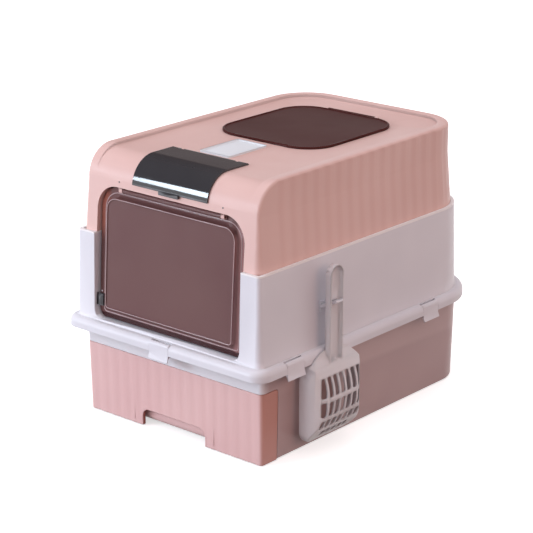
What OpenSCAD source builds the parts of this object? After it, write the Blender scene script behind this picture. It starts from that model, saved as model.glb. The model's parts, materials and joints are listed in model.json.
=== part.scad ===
// Drawer litter box: an open-fronted base with a sliding litter drawer, a middle shell and a
// top cover stacked on it, a swing door, a top hatch, a deodoriser box and a hung scoop.
// X is the width, Y runs from the front (-Y) to the rear, Z is up, and the floor is z = 0.
// Millimetres. The plan centre of the middle shell is the origin.

/* [Shells] */
// Outer width of the middle shell at its top edge
shell_w = 342; // [320:1:380]
// Outer length of the middle shell at its top edge
shell_l = 495; // [460:1:540]
// Height of the seam where the top cover leaves the middle shell
seam_h = 278; // [268:1:292]
// Height of the top cover's raised rim
total_h = 398.5; // [385:0.5:430]
// Height of the base's rim, which the middle shell stands on
rim_h = 136.5; // [128:0.5:142]
// Wall thickness of the base and the middle shell
wall = 2.4; // [2:0.1:3]
// Wall thickness of the fluted top cover
cover_wall = 3; // [2.6:0.1:3.6]
// Plan radius of the middle shell's front corners
front_r = 6; // [6:0.5:12]
// Plan radius of the rear corners of the middle shell
rear_r = 80; // [60:1:90]
// How much wider each side of the middle shell is at its foot than at its top
shell_draft = 4; // [2:0.5:6]
// Gap between pieces that rest on each other
seat_gap = 0.3; // [0.2:0.05:0.4]

/* [Flange] */
// How far the flange stands out from the middle shell's top outline
flange_out = 17; // [16:0.5:20]
// Height of the flange's top face
flange_h = 149.5; // [148:0.5:154]
// Radius of the flange's rolled edge
flange_r = 9; // [7:0.5:10]
// Lower edge of the flange's curl
curl_h = 133.5; // [131:0.5:134]

/* [Base] */
// How far the base's side walls stand in from the middle shell's top outline
base_inset = 3; // [2:0.5:5]
// How far the base's front stands back from the middle shell's top outline
base_front_inset = 8; // [6:0.5:10]
// How far the base narrows on each side from its rim to the floor
base_draft = 3; // [1:0.5:5]
// Radius where the base's walls meet its floor
foot_r = 5; // [4:0.5:8]
// Plan radius of the base's rear corners
base_rear_r = 55; // [40:1:65]
// Plan radius of the front corners of the base and the drawer front
base_front_r = 8; // [8:0.5:12]
// Lower edge of the base's front collar, over the drawer
collar_h = 107; // [100:0.5:112]
// Thickness of the base's rim ledge
ledge_t = 2.5; // [2:0.1:3]
// Height of the two runners on the base's floor
runner_h = 2; // [1.5:0.1:3]
// Distance between the runners
runner_gap = 220; // [160:1:260]

/* [Drawer] */
// Front-to-back depth of the drawer front, which wraps round both corners
front_wrap = 36; // [30:0.5:45]
// Clearance round the drawer front
front_gap = 0.8; // [0.5:0.1:1.2]
// Width of the finger notch at the drawer front's foot
notch_w = 121; // [90:1:150]
// Height of the finger notch
notch_h = 27; // [20:0.5:34]
// Corner radius of the finger notch
notch_r = 12; // [8:0.5:16]
// Depth of the grip lip behind the finger notch
notch_lip = 9; // [6:0.5:14]
// Distance from one flute of the drawer front to the next
drawer_flute_pitch = 21; // [16:0.5:28]
// Depth of the drawer front's flutes
drawer_flute_d = 0.5; // [0.4:0.1:1]
// Clearance between the litter pan's rim and the base's wall, on each side
pan_side_gap = 3; // [2:0.5:6]
// Height of the litter pan's rim at its front
pan_front_h = 100; // [90:0.5:102]
// Height of the litter pan's rim at its rear
pan_rear_h = 83; // [70:0.5:90]
// Plan radius of the litter pan's corners
pan_r = 24; // [15:1:40]
// Wall thickness of the litter pan
pan_wall = 2.2; // [1.8:0.1:2.6]
// Space between the litter pan's rear end and the base's rear wall
pan_rear_gap = 12; // [8:1:25]

/* [Cover] */
// Gap all round between the seam ledge of the middle shell and the top cover
cover_gap = 0.3; // [0.2:0.05:0.5]
// Width of the seam ledge that stands proud of the top cover
seam_ledge = 5.2; // [4:0.1:7]
// Depth of the cover's skirt inside the middle shell
skirt = 10; // [8:0.5:14]
// How far the top cover leans in on every side from the seam to its brow
cover_draft = 6; // [3:0.5:8]
// Radius of the curve from the cover's front to its top
brow_r = 45; // [38:0.5:52]
// Radius of the cover's top edge
edge_r = 4.5; // [4.5:0.5:9]
// Depth of the top panel below the raised rim
recess_d = 4; // [2:0.5:5]
// Width of the raised rim round the top panel
rim_w = 17; // [14:0.5:28]
// How far below the rim the top panel runs out in a crease at the front
crease_drop = 39; // [36:0.5:42]
// Corner radius of that crease
crease_r = 17; // [10:0.5:24]
// Thickness of the top panel
panel_t = 2.6; // [2.2:0.1:3.2]
// Distance from one side flute to the next
flute_pitch = 24.5; // [18:0.5:30]
// Depth of the side flutes
flute_d = 0.6; // [0.4:0.1:1.4]

/* [Doorway] */
// Width of the doorway
door_w = 276; // [240:1:284]
// Height of the doorway's sill above the floor
sill_h = 151; // [150.5:0.5:158]
// How far the top of the doorway lies below the cover's rim
arch_drop = 49.5; // [46:0.5:58]
// Radius of the doorway's upper corners
arch_r = 36; // [28:0.5:44]
// Radius of the doorway's lower corners
sill_r = 14; // [10:0.5:18]
// How far the doorway's lining reaches back from the cover's front at the door's hinge line
lining_d = 10.5; // [10:0.5:14]
// Clearance round the door
door_gap = 1.8; // [1.2:0.1:2.5]
// Thickness of the door's sheet
door_t = 2.2; // [1.8:0.1:3]
// How far the door's middle panel stands forward of its border
door_raise = 5.8; // [3:0.1:7]
// Width of the door's border round the middle panel
door_border = 15; // [12:0.5:20]
// Lean of the door from the vertical
door_lean = 3.4; // [2:0.1:4]
// Radius of the door's hinge barrel
barrel_r = 3.6; // [3:0.1:3.8]
// Length of the door's hinge barrel
barrel_l = 184; // [150:1:190]
// Radius of the door's hinge pins
pin_r = 2; // [1.5:0.1:2.4]
// Radial running clearance of every hinge pin
pin_gap = 0.06; // [0.03:0.01:0.1]

/* [Hatch and deodoriser] */
// Width of the top hatch
hatch_w = 196; // [160:1:210]
// Length of the top hatch
hatch_l = 208; // [170:1:215]
// Distance from the cover's plan centre to the hatch's front edge, towards the front
hatch_front = 48.5; // [36:0.5:54]
// Corner radius of the top hatch
hatch_r = 48; // [30:1:60]
// Thickness of the top hatch
hatch_t = 2.4; // [2:0.1:3]
// How far the hatch laps over its opening on each side
hatch_lap = 5; // [4:0.5:8]
// Length of the hatch's hinge barrel
hatch_barrel_l = 88; // [60:1:120]
// Width of the deodoriser lid
deo_w = 140; // [110:1:150]
// Distance from the cover's plan centre to the deodoriser lid's rear edge
deo_rear = 152.5; // [147:0.5:158]
// Thickness of the deodoriser lid
deo_t = 2.2; // [1.8:0.1:2.6]
// Width of the finger tab of the deodoriser lid
deo_tab_w = 36; // [24:1:50]
// Width of the deodoriser cup's opening
cup_w = 124; // [90:1:130]
// Length of the deodoriser cup's opening
cup_l = 58; // [48:1:60]
// Depth of the deodoriser cup's floor below the top panel
cup_depth = 35; // [29:0.5:37]
// Thickness of the carbon pad in the cup
pad_t = 12; // [8:0.5:15]

/* [Clips] */
// Width of a clip
clip_w = 36; // [28:1:44]
// Thickness of a clip
clip_t = 2.2; // [1.8:0.1:2.6]
// How far a clip's finger tab hangs below the base's ledge
clip_drop = 10; // [7:0.5:14]
// Distance from the plan centre to the front pair of side clips
side_clip_front = 190.5; // [160:0.5:202]
// Distance from the plan centre to the rear pair of side clips
side_clip_rear = 118.5; // [80:0.5:130]

/* [Scoop] */
// Distance from the plan centre to the scoop's middle, towards the front
scoop_y = 116.5; // [70:0.5:118]
// Width of the scoop's bowl
bowl_w = 107; // [90:1:120]
// Height of the bowl's lip above the floor
bowl_low = 15; // [10:1:30]
// Height of the bowl's shoulder
bowl_high = 149; // [140:1:152]
// Depth of the bowl from its rim to its back
bowl_d = 36; // [28:0.5:42]
// Radius of the bowl's back, seen from the side
bowl_r = 88; // [78:1:110]
// Plan radius of the bowl's cheeks
bowl_side_r = 28; // [12:1:30]
// Sheet thickness of the scoop
scoop_t = 2.2; // [1.8:0.1:2.8]
// Number of slots across the bowl
slot_n = 7; // [4:1:7]
// Width of a slot
slot_w = 8.6; // [6:0.1:13]
// Distance from one slot to the next
slot_pitch = 12.6; // [10:0.1:17]
// Width of the scoop's handle
handle_w = 28; // [22:0.5:34]
// Height of the handle's end above the floor
handle_top = 269; // [240:1:275]
// Depth of the handle's side flanges
handle_d = 9.5; // [7:0.5:12]

/* [Hidden] */
$fn = 96;
hw = shell_w / 2;
hl = shell_l / 2;
over = 1;
joint_over = 0.4;

// Base outline at its rim
base_hw = hw - base_inset;
base_yf = -hl + base_front_inset;
base_yr = hl - base_inset - 1;
wall_rim = rim_h - ledge_t;
slope_r = base_draft + foot_r;
ledge_out = flange_out - wall - 1.6;
base_lean = atan(base_draft / (wall_rim - foot_r));

// Drawer
front_back = base_yf + front_wrap;
wrap_r = 6;
front_low = 1;
front_top = collar_h - front_gap;
pan_hw = base_hw - wall - base_draft - pan_side_gap - 1.6;
pan_yf = base_yf + wall + notch_lip + 1;
pan_yr = base_yr - wall - pan_rear_gap;
pan_rear_r = base_rear_r - 10;
pan_lean = 2;
pan_foot_r = 10;
pan_inset = pan_lean + pan_foot_r;
pan_floor = wall + runner_h + seat_gap;
pan_flange = 3;
pan_front_lip = 1;
pan_slope = atan((pan_front_h - pan_rear_h) / (pan_yr - pan_yf));

// Cover outline at its brow
cover_hw = hw - seam_ledge - cover_gap - cover_draft;
cover_hl = hl - seam_ledge - cover_gap - cover_draft;
cover_rr = rear_r - seam_ledge - cover_gap - cover_draft;
brow_z = total_h - brow_r;
brow_y = -cover_hl + brow_r;
panel_z = total_h - recess_d;
panel_r = brow_r - recess_d;
panel_y = brow_y - recess_d;
crease_h = total_h - crease_drop;
recess_hw = cover_hw - rim_w;
cover_lean = atan(cover_draft / (brow_z - seam_h));
shell_lean = atan(shell_draft / (seam_h - flange_h));
step_t = 2.6;

// The bead that the door closes against, and the lining's back behind it
door_mid = door_t / 2;
stop_bead = 1.6;
stop_back = door_mid + seat_gap + stop_bead + 0.6;

// The door's sheet, and its hinge line forward of it
arch_h = total_h - arch_drop;
door_y = -cover_hl + lining_d - stop_back;
hinge_out = 3.2;
hinge_z = arch_h - barrel_r - 1.4;
hinge_y = door_y - hinge_out;
stop_clear = 8;
lug_w = 6;
lug_x = barrel_l / 2 + 0.6;
door_hw = door_w / 2 - door_gap;

// Hatch hinge line
hatch_yf = -hatch_front;
hatch_yr = hatch_yf + hatch_l;
hatch_z = panel_z + seat_gap;
hatch_barrel_r = 2.2;
hatch_pin_r = 1.2;
groove_gap = 0.35;
hatch_hinge_y = hatch_yr + hatch_barrel_r + 1.2;
hatch_hinge_z = panel_z + 1.4;
hatch_in = 0.8;

// Deodoriser lid hinge line
deo_r = panel_r + seat_gap;
deo_barrel_r = 1.8;
deo_pin_r = 1;
deo_hinge_y = -deo_rear - deo_barrel_r;
deo_hinge_z = panel_z + seat_gap + deo_t - deo_barrel_r - 0.15;
deo_lug_x = 48;
deo_lug_w = 5;
deo_low = crease_h - 1;
cup_yr = -deo_rear - 8;
cup_yf = cup_yr - cup_l;
cup_t = 2;
cup_lip = 4;
cup_floor_h = panel_z - cup_depth;
cup_slot_w = 5;
cup_slot_pitch = 12;
cup_slot_in = 8;
pad_gap = 2.6;
cup_lip_t = 1.2;
cup_gap = 0.4;

// The latch slides sideways on the door's border, into a pocket in the doorway's side
latch_h = 17;
latch_w = 9.6;
latch_up = 27;
latch_y = sill_h + latch_up - hinge_z;
latch_x = -door_w / 2 + 2.4;
latch_travel = 4.5;
neck_x = latch_x + 6;
neck_w = 2.8;
neck_h = 8;
neck_gap = 0.3;
latch_plate_t = 1.6;

// Clips turn about a line just inside the flange's edge
clip_r = 4.4;
clip_in = 4.5;
clip_pin_r = 1.42;
clip_z = flange_h - clip_r - 0.5;
clip_u = flange_out - clip_in;
ear_w = 3;
clip_side_gap = 0.3;
hook_z = wall_rim - 0.4;
hook_t = 2.4;

// Scoop, hung on the right side
bowl_rim_x = hw + 5;
bowl_cx = bowl_rim_x + bowl_d - bowl_r;
bowl_cz = (bowl_low + bowl_high) / 2 + 0.5;
sheet_x = hw + flange_out + 1.3;
sheet_top = bowl_cz + sqrt(pow(bowl_r, 2) - pow(sheet_x + scoop_t - bowl_cx, 2));
shoulder_r = 45;
bowl_foot_r = 20;
hang_slope = 25;
hook_peg_w = 14;
hook_peg_t = 4;
peg_z = 205;
peg_gap = 0.3;
peg_l = (flange_out + handle_d + 3) / cos(hang_slope);
hook_plate_h = 16;

// Rounded plan shape: half width, front and rear y, front and rear corner radii
module plan(w, yf, yr, rf, rr) {
  translate([-w, yf + rf]) square([2 * w, yr - rr - yf - rf]);
  translate([-w + rf, yf]) square([2 * (w - rf), rf + over]);
  translate([-w + rr, yr - rr - over]) square([2 * (w - rr), rr + over]);
  for (s = [-1, 1]) {
    translate([s * (w - rf), yf + rf]) circle(rf);
    translate([s * (w - rr), yr - rr]) circle(rr);
  }
}

// Sweeps a section round that plan: x of the section is outward, y is up
module around(w, yf, yr, rf, rr) {
  along_sides(w, yf + rf, yr - rr) children();
  around_rear(w, yr, rr) children();
  around_front(w, yf, rf) children();
}

module around_front(w, yf, rf) {
  for (s = [0, 1]) mirror([s, 0, 0])
    translate([w - rf, yf + rf, 0]) rotate([0, 0, -90])
      rotate_extrude(angle = 90) translate([rf, 0]) children();
  translate([w - rf, yf, 0]) rotate([90, 0, -90]) linear_extrude(2 * (w - rf)) children();
}

module along_sides(w, y0, y1) {
  for (s = [0, 1]) mirror([s, 0, 0])
    translate([w, y1, 0]) rotate([90, 0, 0]) linear_extrude(y1 - y0) children();
}

module around_rear(w, yr, rr) {
  for (s = [0, 1]) mirror([s, 0, 0])
    translate([w - rr, yr - rr, 0]) rotate_extrude(angle = 90) translate([rr, 0]) children();
  translate([rr - w, yr, 0]) rotate([90, 0, 90]) linear_extrude(2 * (w - rr)) children();
}

// Section pieces: a quarter ring in the quadrant (sx, sz) of its centre
module quarter(x, z, r0, r1, sx, sz) {
  translate([x, z]) intersection() {
    difference() {
      circle(r1);
      circle(r0);
    }
    translate([sx < 0 ? -r1 - over : 0, sz < 0 ? -r1 - over : 0]) square(r1 + over);
  }
}

// A prism along X, from a section drawn with x forward (-Y) and y up
module along_x(x0, x1) {
  translate([x1, 0, 0]) rotate([90, 0, -90]) linear_extrude(x1 - x0) children();
}

// A prism along Y, from a section drawn in X and Z
module along_y(y0, y1) {
  translate([0, y1, 0]) rotate([90, 0, 0]) linear_extrude(y1 - y0) children();
}

// Soft flutes side by side: a wave that dips below y = 0 by its depth, crests just above it
module flute_comb(count, pitch, depth) {
  steps = 6;
  crest = 0.15;
  x0 = -count * pitch / 2;
  wave = [for (i = [0 : count * steps])
    [x0 + i * pitch / steps, crest - (depth + crest) * (1 - cos(360 * i / steps)) / 2]];
  polygon(concat([[x0, 3]], wave, [[-x0, 3]]));
}

module base_wall() {
  polygon([[0, wall_rim + joint_over], [-base_draft, foot_r], [-base_draft - wall, foot_r],
    [-wall, wall_rim + joint_over]]);
}

module base_section() {
  base_wall();
  quarter(-slope_r, foot_r, foot_r - wall, foot_r, 1, -1);
}

module base_shell() {
  color("#c9b3b4") {
    difference() {
      union() {
        along_sides(base_hw, base_yf + base_front_r, base_yr - base_rear_r) base_section();
        around_rear(base_hw, base_yr, base_rear_r) base_section();
        around_front(base_hw, base_yf, base_front_r) base_wall();
        linear_extrude(wall)
          plan(base_hw - slope_r + joint_over, base_yf + slope_r, base_yr - slope_r,
            over, base_rear_r - slope_r);
      }
      along_x(-hw - over, hw + over) drawer_way(0);
    }
    rim_ledge();
    runners();
  }
}

// The space in front of the side walls that the drawer front closes
module drawer_way(g) {
  y0 = -front_back + g;
  translate([y0, -wall]) square([front_wrap * 2, collar_h + wall - wrap_r - g]);
  translate([y0 + wrap_r, 0]) square([front_wrap * 2, collar_h - g]);
  translate([y0 + wrap_r, collar_h - wrap_r - g]) circle(wrap_r);
}

module rim_ledge() {
  out_w = hw + ledge_out;
  out_l = hl + ledge_out;
  translate([0, 0, wall_rim]) linear_extrude(ledge_t) difference() {
    plan(out_w, -out_l, out_l, front_r + ledge_out, rear_r + ledge_out);
    plan(base_hw - wall, base_yf + wall, base_yr - wall, base_front_r - wall, base_rear_r - wall);
  }
}

module runners() {
  run_w = 6;
  for (s = [-1, 1])
    translate([s * runner_gap / 2 - run_w / 2, front_back + over, wall - joint_over])
      cube([run_w, base_yr - base_rear_r - front_back, runner_h + joint_over]);
}

// The drawer front's wall, which keeps the base's lean down to the floor
module drawer_wall() {
  low_u = base_draft * wall_rim / (wall_rim - foot_r);
  polygon([[0, wall_rim], [-low_u, 0], [-low_u - wall, 0], [-wall, wall_rim]]);
}

module drawer_front() {
  color("#d9b6b8") {
    difference() {
      intersection() {
        union() {
          along_sides(base_hw, base_yf + base_front_r, 0) drawer_wall();
          around_front(base_hw, base_yf, base_front_r) drawer_wall();
          translate([0, 0, front_top - wall]) linear_extrude(wall)
            plan(base_hw - wall, base_yf + wall, 0, base_front_r - wall, base_front_r);
        }
        along_x(-hw, hw) front_side();
      }
      front_flutes();
      along_y(base_yf - over, base_yf + foot_r + wall + over) notch(0);
    }
    notch_lining();
    for (s = [-1, 1]) front_bracket(s);
  }
}

// Side view of the drawer front, a clearance behind the cut in the base's side wall
module front_side() {
  y0 = -front_back + front_gap;
  translate([y0, front_low]) square([front_wrap * 2, collar_h - wrap_r - front_low]);
  translate([y0 + wrap_r - front_gap, front_low])
    square([front_wrap * 2, front_top - front_low]);
  translate([y0 + wrap_r - front_gap, collar_h - wrap_r]) circle(wrap_r - front_gap);
}

module notch(g) {
  w = notch_w / 2 + g;
  h = notch_h + g;
  r = notch_r + g;
  translate([-w, -over]) square([2 * w, h + over - r]);
  translate([r - w, 0]) square([2 * (w - r), h]);
  for (s = [-1, 1]) translate([s * (w - r), h - r]) circle(r);
}

// The grip lip that runs back from the finger notch
module notch_lining() {
  lip_yf = base_yf + base_draft - 0.4;
  difference() {
    along_y(lip_yf, base_yf + notch_lip) intersection() {
      notch(wall);
      translate([-base_hw, front_low]) square([2 * base_hw, collar_h]);
    }
    along_y(lip_yf - over, base_yf + notch_lip + over) notch(0);
    lean_slab(base_yf, wall_rim, base_lean, -notch_lip, joint_over);
  }
}

// A slab parallel to a leaning front: y and z of a point on it, lean, near and far depth
module lean_slab(y, z, lean, d0, d1) {
  translate([-hw - flange_out, y, z]) rotate([lean, 0, 0])
    translate([0, d0, -total_h]) cube([2 * (hw + flange_out), d1 - d0, 2 * total_h]);
}

module front_flutes() {
  inner_w = 2 * (base_hw - base_front_r);
  count = floor(inner_w / drawer_flute_pitch);
  translate([0, base_yf, wall_rim])
    rotate([base_lean, 0, 0])
      translate([0, 0, -wall_rim - over]) mirror([0, 1, 0]) linear_extrude(total_h / 2)
        flute_comb(count, drawer_flute_pitch, drawer_flute_d);
}

// Ribs that carry the litter pan behind the drawer front
module front_bracket(s) {
  rib_x = s * (notch_w / 2 + 16);
  translate([rib_x - wall / 2, base_yf + wall, foot_r + wall])
    cube([wall, pan_yf - pan_front_lip - base_yf - wall - seat_gap,
      front_top - wall - foot_r - wall + joint_over]);
}

module pan_section() {
  polygon([[0, pan_front_h + over], [-pan_lean, pan_floor + pan_foot_r],
    [-pan_lean - pan_wall, pan_floor + pan_foot_r], [-pan_wall, pan_front_h + over]]);
  quarter(-pan_inset, pan_floor + pan_foot_r, pan_foot_r - pan_wall, pan_foot_r, 1, -1);
  translate([-pan_inset - over, pan_floor]) square([over, pan_wall]);
}

// Everything below the pan's sloping rim
module below_rim(d) {
  translate([-hw, pan_yf, pan_front_h - d]) rotate([-pan_slope, 0, 0])
    translate([0, -hl, -2 * pan_front_h]) cube([2 * hw, 4 * hl, 2 * pan_front_h]);
}

module drawer_pan() {
  inset = pan_inset + over / 2;
  color("#cfa9ab") {
    intersection() {
      around(pan_hw, pan_yf, pan_yr, pan_r, pan_rear_r) pan_section();
      below_rim(0);
    }
    translate([0, 0, pan_floor]) linear_extrude(pan_wall)
      plan(pan_hw - inset, pan_yf + inset, pan_yr - inset, pan_r - inset, pan_rear_r - inset);
    difference() {
      intersection() {
        linear_extrude(pan_front_h + over) difference() {
          plan(pan_hw + pan_flange, pan_yf - pan_front_lip, pan_yr + pan_flange,
            pan_r + pan_flange, pan_rear_r + pan_flange);
          plan(pan_hw - pan_wall / 2, pan_yf + pan_wall / 2, pan_yr - pan_wall / 2,
            pan_r - pan_wall / 2, pan_rear_r - pan_wall / 2);
        }
        below_rim(0);
      }
      below_rim(pan_wall);
    }
  }
}

module shell_section() {
  arc_u = flange_out - flange_r;
  arc_z = flange_h - flange_r;
  foot_z = rim_h + seat_gap;
  polygon([[-wall, seam_h], [0, seam_h], [shell_draft, flange_h], [shell_draft, foot_z],
    [shell_draft - wall, foot_z], [shell_draft - wall, flange_h]]);
  translate([shell_draft - wall / 2, flange_h - wall])
    square([arc_u - shell_draft + wall / 2, wall]);
  quarter(arc_u, arc_z, flange_r - wall, flange_r, 1, 1);
  translate([flange_out - wall, curl_h]) square([wall, arc_z - curl_h]);
}

// A ledge inside the middle shell's wall, its top at height z
module shell_ledge(z, reach) {
  lap = wall / 2;
  translate([0, 0, z - wall]) linear_extrude(wall) difference() {
    plan(hw - lap, -hl + lap, hl - lap, front_r - lap, rear_r - lap);
    plan(hw - reach, -hl + reach, hl - reach, max(front_r - reach, over), rear_r - reach);
  }
}

module middle_shell() {
  color("#dadbe8") {
    difference() {
      union() {
        around(hw, -hl, hl, front_r, rear_r) shell_section();
        shell_ledge(seam_h, seam_ledge);
        shell_ledge(seam_h - skirt, seam_ledge + cover_gap + cover_wall + 2);
        door_lining(sill_h - wall, seam_h, -hl, seam_h, -shell_lean, wall);
        door_stop(sill_h - wall, seam_h);
        for (p = clip_places()) clip_turn(p) clip_ears();
      }
      along_y(-hl - flange_out, -hl + 2 * lining_d) door_hole(0);
      for (p = clip_places()) clip_turn(p) clip_room();
      latch_pocket();
    }
  }
}

// Doorway outline, shrunk by g on every side
module door_hole(g) {
  w = door_w / 2 - g;
  top_r = arch_r - g;
  low_r = max(sill_r - g, 5);
  translate([-w, sill_h + g + low_r]) square([2 * w, arch_h - g - top_r - sill_h - g - low_r]);
  translate([low_r - w, sill_h + g]) square([2 * (w - low_r), low_r + over]);
  translate([top_r - w, arch_h - g - top_r - over]) square([2 * (w - top_r), top_r + over]);
  for (s = [-1, 1]) {
    translate([s * (w - low_r), sill_h + g + low_r]) circle(low_r);
    translate([s * (w - top_r), arch_h - g - top_r]) circle(top_r);
  }
}

// Lining of the doorway between two heights, from a front that leans to behind the door's bead
module door_lining(z0, z1, y, z, lean, t) {
  intersection() {
    along_y(-hl - flange_out, -hl + 3 * lining_d) difference() {
      door_hole(-t);
      door_hole(0);
    }
    lean_slab(y, z, lean, t / 2, 3 * lining_d);
    in_door_plane(-stop_back, 4 * lining_d)
      translate([-hw, -total_h]) square([2 * hw, 2 * total_h]);
    translate([-hw, -hl - flange_out, z0]) cube([2 * hw, hl, z1 - z0]);
  }
}

// The bead behind the door's edge that it closes against
module door_stop(z0, z1) {
  intersection() {
    in_door_plane(-door_mid - seat_gap - stop_bead, -door_mid - seat_gap) difference() {
      door_face(-door_gap - 1.2);
      door_face(2.4);
    }
    translate([-hw, -hl - flange_out, z0]) cube([2 * hw, hl, z1 - z0]);
  }
}

// Each place: outward turn, distance of the outline, shift along the edge
function clip_places() = [[-90, hl, 0], [90, hl, 0], [0, hw, -side_clip_front],
  [0, hw, side_clip_rear], [180, hw, side_clip_front], [180, hw, -side_clip_rear]];

module clip_turn(p) {
  rotate([0, 0, p[0]]) translate([p[1], p[2], 0]) children();
}

module clip_room() {
  y0 = clip_w / 2 + clip_side_gap;
  translate([clip_u - clip_r - 0.5, -y0, rim_h + seat_gap])
    cube([clip_in + clip_r + 2, 2 * y0, flange_h - rim_h + over]);
  translate([clip_u - clip_r - 0.5, -y0, curl_h - over])
    cube([clip_in + clip_r + 2, 2 * y0, flange_h - curl_h]);
  for (s = [-1, 1])
    translate([clip_u, s * (y0 + ear_w / 2), clip_z]) rotate([90, 0, 0])
      cylinder(r = clip_pin_r + pin_gap, h = ear_w + 2 * over, center = true);
}

module clip_ears() {
  y0 = clip_w / 2 + clip_side_gap;
  for (s = [-1, 1])
    translate([0, s > 0 ? y0 + ear_w : -y0, 0]) rotate([90, 0, 0]) linear_extrude(ear_w)
      ear_section();
}

module ear_section() {
  arc_u = flange_out - flange_r;
  ear_low = rim_h + seat_gap;
  translate([shell_draft - wall / 2, ear_low])
    square([arc_u - shell_draft + wall / 2, flange_h - wall / 2 - ear_low]);
  translate([arc_u - over, ear_low])
    square([flange_out - wall / 2 - arc_u + over, flange_h - flange_r - ear_low]);
  intersection() {
    translate([arc_u, flange_h - flange_r]) circle(flange_r - wall / 2);
    translate([arc_u, ear_low]) square([flange_r, flange_h - ear_low]);
  }
}

// Section of a clip: round top, plate, hook under the base's ledge and a flared tab
module clip_section() {
  out_u = clip_u + clip_r;
  low_z = wall_rim - clip_drop;
  translate([clip_u, clip_z]) circle(clip_r);
  translate([out_u - clip_t, hook_z - hook_t]) square([clip_t, clip_z - hook_z + hook_t]);
  polygon([[out_u - clip_t, hook_z], [clip_u - 3, hook_z], [clip_u - 3, hook_z - 1],
    [out_u - clip_t, hook_z - hook_t - 1], [out_u, hook_z - hook_t - 1], [out_u, hook_z]]);
  polygon([[out_u - clip_t, hook_z - hook_t], [out_u, hook_z - hook_t],
    [out_u + 2.4, low_z], [out_u + 0.6, low_z]]);
}

module clip(p) {
  color("#e6e6ee") clip_turn(p) {
    translate([0, clip_w / 2, 0]) rotate([90, 0, 0]) linear_extrude(clip_w) clip_section();
    translate([clip_u, 0, clip_z]) rotate([90, 0, 0])
      cylinder(r = clip_pin_r, h = clip_w + 2 * (clip_side_gap + ear_w - 0.4), center = true);
  }
}

module cover_low_section() {
  skirt_z = seam_h - skirt + seat_gap;
  polygon([[0, brow_z], [cover_draft, seam_h], [cover_draft, skirt_z],
    [cover_draft - cover_wall, skirt_z], [cover_draft - cover_wall, seam_h],
    [-cover_wall, brow_z]]);
}

module cover_top_section() {
  translate([-cover_wall, brow_z]) square([cover_wall, total_h - edge_r - brow_z]);
  quarter(-edge_r, total_h - edge_r, edge_r - cover_wall, edge_r, 1, 1);
  translate([-rim_w, total_h - cover_wall]) square([rim_w - edge_r, cover_wall]);
  translate([-rim_w, panel_z - panel_t]) square([step_t, recess_d + panel_t]);
}

// Turned quarter of the brow, between the front and the top
module brow_turn(y) {
  translate([0, y, brow_z]) rotate([0, 90, 0]) rotate([0, 0, 180])
    rotate_extrude(angle = 90) children();
}

module brow_section() {
  for (s = [0, 1]) mirror([0, s, 0]) {
    translate([brow_r - edge_r, cover_hw - edge_r]) intersection() {
      difference() {
        circle(edge_r);
        circle(edge_r - cover_wall);
      }
      square(edge_r);
    }
    translate([0, cover_hw - cover_wall]) square([brow_r - edge_r, cover_wall]);
    translate([brow_r - cover_wall, -over])
      square([cover_wall, cover_hw - edge_r + over]);
  }
}

// The recessed band over the brow and the flat panel behind it
module panel_shell() {
  brow_turn(panel_y)
    translate([panel_r - panel_t, -recess_hw - joint_over])
      square([panel_t, 2 * (recess_hw + joint_over)]);
  translate([0, 0, panel_z - panel_t]) linear_extrude(panel_t) intersection() {
    plan(recess_hw + joint_over, -hl, cover_hl - rim_w + joint_over, 1, cover_rr - rim_w);
    translate([-hw, panel_y]) square([2 * hw, 2 * hl]);
  }
  for (s = [0, 1]) mirror([s, 0, 0]) difference() {
    translate([recess_hw, 0, 0]) rotate([90, 0, 90]) linear_extrude(step_t)
      intersection() {
        translate([brow_y, brow_z]) circle(brow_r - 0.2);
        translate([-hl, brow_z]) square([hl + brow_y + joint_over, brow_r]);
      }
    translate([hw, panel_y, brow_z]) rotate([0, -90, 0])
      cylinder(r = panel_r - panel_t, h = 2 * hw);
    translate([-hw, panel_y, brow_z - over])
      cube([2 * hw, brow_r, panel_z - panel_t - brow_z + over]);
  }
}

// The space above the recessed panel
module recess_room() {
  low_r = crease_r;
  difference() {
    along_y(-hl, brow_y + joint_over) {
      translate([-recess_hw, crease_h + low_r]) square([2 * recess_hw, brow_r]);
      translate([low_r - recess_hw, crease_h]) square([2 * (recess_hw - low_r), low_r + over]);
      for (s = [-1, 1]) translate([s * (recess_hw - low_r), crease_h + low_r]) circle(low_r);
    }
    translate([hw, panel_y, brow_z]) rotate([0, -90, 0]) cylinder(r = panel_r, h = 2 * hw);
    translate([-hw, panel_y, brow_z]) cube([2 * hw, brow_r, panel_r]);
  }
}

module cover_walls() {
  difference() {
    union() {
      around(cover_hw, -cover_hl, cover_hl, edge_r, cover_rr) cover_low_section();
      along_sides(cover_hw, brow_y, cover_hl - cover_rr) cover_top_section();
      around_rear(cover_hw, cover_hl, cover_rr) cover_top_section();
      brow_turn(brow_y) brow_section();
      panel_shell();
    }
    recess_room();
    cover_flutes();
  }
}

module cover_flutes() {
  side_l = cover_hl - cover_rr - (brow_y - 18);
  count = floor(side_l / flute_pitch);
  mid_y = (cover_hl - cover_rr + brow_y - 18) / 2;
  rear_l = 2 * (cover_hw - cover_rr);
  rear_count = floor(rear_l / flute_pitch);
  for (s = [0, 1]) mirror([s, 0, 0])
    translate([cover_hw, mid_y, 0]) rotate([0, 0, -90]) flute_wall(count, flute_pitch);
  translate([0, cover_hl, 0]) flute_wall(rear_count, flute_pitch);
  corner_count = 4;
  for (s = [0, 1], i = [0 : corner_count - 1]) mirror([s, 0, 0])
    translate([cover_hw - cover_rr, cover_hl - cover_rr, 0])
      rotate([0, 0, -90 + (i + 0.5) * 90 / corner_count]) translate([0, cover_rr, 0])
        flute_wall(1, flute_pitch);
}

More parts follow.
